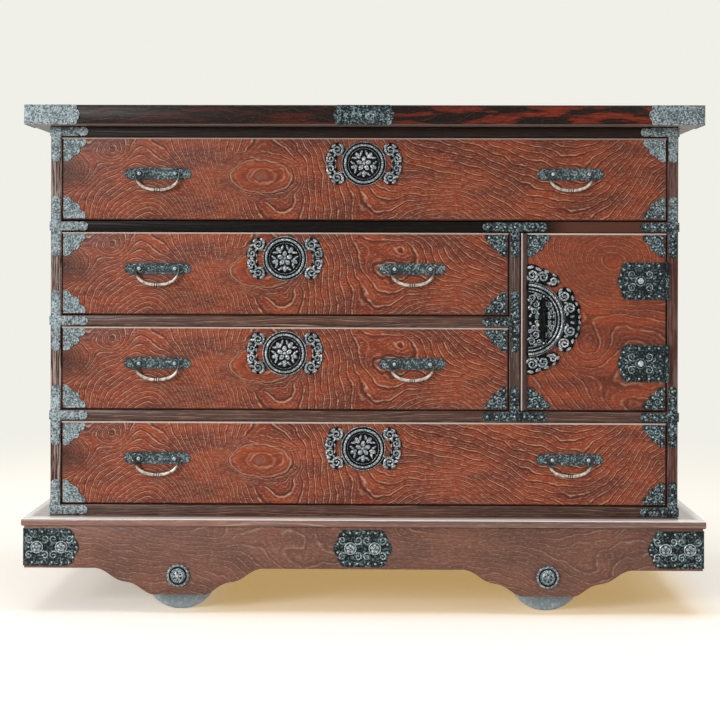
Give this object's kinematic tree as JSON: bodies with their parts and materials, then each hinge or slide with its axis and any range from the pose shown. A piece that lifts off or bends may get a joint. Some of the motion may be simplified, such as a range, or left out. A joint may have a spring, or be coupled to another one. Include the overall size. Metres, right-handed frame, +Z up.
{
  "type": "small tansu chest",
  "caption": "Low wheeled chest of drawers with a side door, overhanging top, iron fittings and bail handles, on a scalloped base that rolls on disc wheels.",
  "frame": {"origin": "on the floor under the middle of the chest", "axes": "+X along the front to the right, +Y from the front to the back, +Z up"},
  "size_m": [0.756, 0.437, 0.5625],
  "materials": {
    "front_wood": "lacquered",
    "frame_wood": "dark lacquer",
    "top_wood": "dark lacquer",
    "deck_wood": "lacquered",
    "skirt_wood": "lacquered",
    "plain_wood": "unfinished",
    "iron": "blackened, mottled",
    "dark_iron": "blackened",
    "bail_iron": "blackened, polished",
    "wheel": "matt grey"
  },
  "bodies": {
    "case": {"top_board": "top_wood", "side_left": "frame_wood", "side_right": "frame_wood", "upper_rail": "frame_wood", "divider_upper": "frame_wood", "divider_middle": "frame_wood", "divider_lower": "frame_wood", "bottom_board": "frame_wood", "partition": "frame_wood", "back_panel": "plain_wood", "door_stop_strip": "plain_wood", "frame_plates": "iron", "top_plates": "iron", "hinge_post_leaves": "iron", "hinge_pins": "dark_iron", "deck": "deck_wood", "skirt_front": "skirt_wood", "skirt_back": "skirt_wood", "skirt_ends": "skirt_wood", "axles": "dark_iron", "axle_rosettes": "dark_iron", "base_plates": "iron", "base_studs": "dark_iron"},
    "drawer_1": {"drawer_1_front": "front_wood", "drawer_1_box": "plain_wood", "drawer_1_corner_plates": "iron", "drawer_1_lock_plate": "dark_iron", "drawer_1_handle_plates": "iron"},
    "drawer_1_bail_left": {"drawer_1_bail_left": "bail_iron"},
    "drawer_1_bail_right": {"drawer_1_bail_right": "bail_iron"},
    "drawer_2": {"drawer_2_front": "front_wood", "drawer_2_box": "plain_wood", "drawer_2_corner_plates": "iron", "drawer_2_lock_plate": "dark_iron", "drawer_2_handle_plates": "iron"},
    "drawer_2_bail_left": {"drawer_2_bail_left": "bail_iron"},
    "drawer_2_bail_right": {"drawer_2_bail_right": "bail_iron"},
    "drawer_3": {"drawer_3_front": "front_wood", "drawer_3_box": "plain_wood", "drawer_3_corner_plates": "iron", "drawer_3_lock_plate": "dark_iron", "drawer_3_handle_plates": "iron"},
    "drawer_3_bail_left": {"drawer_3_bail_left": "bail_iron"},
    "drawer_3_bail_right": {"drawer_3_bail_right": "bail_iron"},
    "drawer_4": {"drawer_4_front": "front_wood", "drawer_4_box": "plain_wood", "drawer_4_corner_plates": "iron", "drawer_4_lock_plate": "dark_iron", "drawer_4_handle_plates": "iron"},
    "drawer_4_bail_left": {"drawer_4_bail_left": "bail_iron"},
    "drawer_4_bail_right": {"drawer_4_bail_right": "bail_iron"},
    "wheel_front_left": {"wheel_front_left": "wheel"},
    "wheel_front_right": {"wheel_front_right": "wheel"},
    "wheel_back_left": {"wheel_back_left": "wheel"},
    "wheel_back_right": {"wheel_back_right": "wheel"},
    "door": {"door_panel": "front_wood", "door_edge_strip": "frame_wood", "door_corner_plates": "iron", "door_lock_plate": "dark_iron", "door_hinge_leaves": "iron"}
  },
  "joints": [
    {"name": "drawer_1_slide", "type": "slide", "parent": "case", "child": "drawer_1", "axis": [0, -1, 0], "range_m": [0, 0.27]},
    {"name": "drawer_1_bail_left_swing", "type": "hinge", "parent": "drawer_1", "child": "drawer_1_bail_left", "pos_m": [-0.2305, -0.195, 0.4872], "axis": [-1, 0, 0], "range_deg": [-12, 170]},
    {"name": "drawer_1_bail_right_swing", "type": "hinge", "parent": "drawer_1", "child": "drawer_1_bail_right", "pos_m": [0.2305, -0.195, 0.4872], "axis": [-1, 0, 0], "range_deg": [-12, 170]},
    {"name": "drawer_2_slide", "type": "slide", "parent": "case", "child": "drawer_2", "axis": [0, -1, 0], "range_m": [0, 0.27]},
    {"name": "drawer_2_bail_left_swing", "type": "hinge", "parent": "drawer_2", "child": "drawer_2_bail_left", "pos_m": [-0.2305, -0.195, 0.3812], "axis": [-1, 0, 0], "range_deg": [-12, 170]},
    {"name": "drawer_2_bail_right_swing", "type": "hinge", "parent": "drawer_2", "child": "drawer_2_bail_right", "pos_m": [0.0545, -0.195, 0.3812], "axis": [-1, 0, 0], "range_deg": [-12, 170]},
    {"name": "drawer_3_slide", "type": "slide", "parent": "case", "child": "drawer_3", "axis": [0, -1, 0], "range_m": [0, 0.27]},
    {"name": "drawer_3_bail_left_swing", "type": "hinge", "parent": "drawer_3", "child": "drawer_3_bail_left", "pos_m": [-0.2305, -0.195, 0.2752], "axis": [-1, 0, 0], "range_deg": [-12, 170]},
    {"name": "drawer_3_bail_right_swing", "type": "hinge", "parent": "drawer_3", "child": "drawer_3_bail_right", "pos_m": [0.0545, -0.195, 0.2752], "axis": [-1, 0, 0], "range_deg": [-12, 170]},
    {"name": "drawer_4_slide", "type": "slide", "parent": "case", "child": "drawer_4", "axis": [0, -1, 0], "range_m": [0, 0.27]},
    {"name": "drawer_4_bail_left_swing", "type": "hinge", "parent": "drawer_4", "child": "drawer_4_bail_left", "pos_m": [-0.2305, -0.195, 0.1692], "axis": [-1, 0, 0], "range_deg": [-12, 170]},
    {"name": "drawer_4_bail_right_swing", "type": "hinge", "parent": "drawer_4", "child": "drawer_4_bail_right", "pos_m": [0.2305, -0.195, 0.1692], "axis": [-1, 0, 0], "range_deg": [-12, 170]},
    {"name": "wheel_front_left_spin", "type": "hinge", "parent": "case", "child": "wheel_front_left", "pos_m": [-0.204, -0.175, 0.042], "axis": [0, 1, 0], "continuous": true},
    {"name": "wheel_front_right_spin", "type": "hinge", "parent": "case", "child": "wheel_front_right", "pos_m": [0.204, -0.175, 0.042], "axis": [0, 1, 0], "continuous": true},
    {"name": "wheel_back_left_spin", "type": "hinge", "parent": "case", "child": "wheel_back_left", "pos_m": [-0.204, 0.175, 0.042], "axis": [0, 1, 0], "continuous": true},
    {"name": "wheel_back_right_spin", "type": "hinge", "parent": "case", "child": "wheel_back_right", "pos_m": [0.204, 0.175, 0.042], "axis": [0, 1, 0], "continuous": true},
    {"name": "door_hinge", "type": "hinge", "parent": "case", "child": "door", "pos_m": [0.3385, -0.191, 0.3225], "axis": [0, 0, 1], "range_deg": [0, 170]}
  ]
}
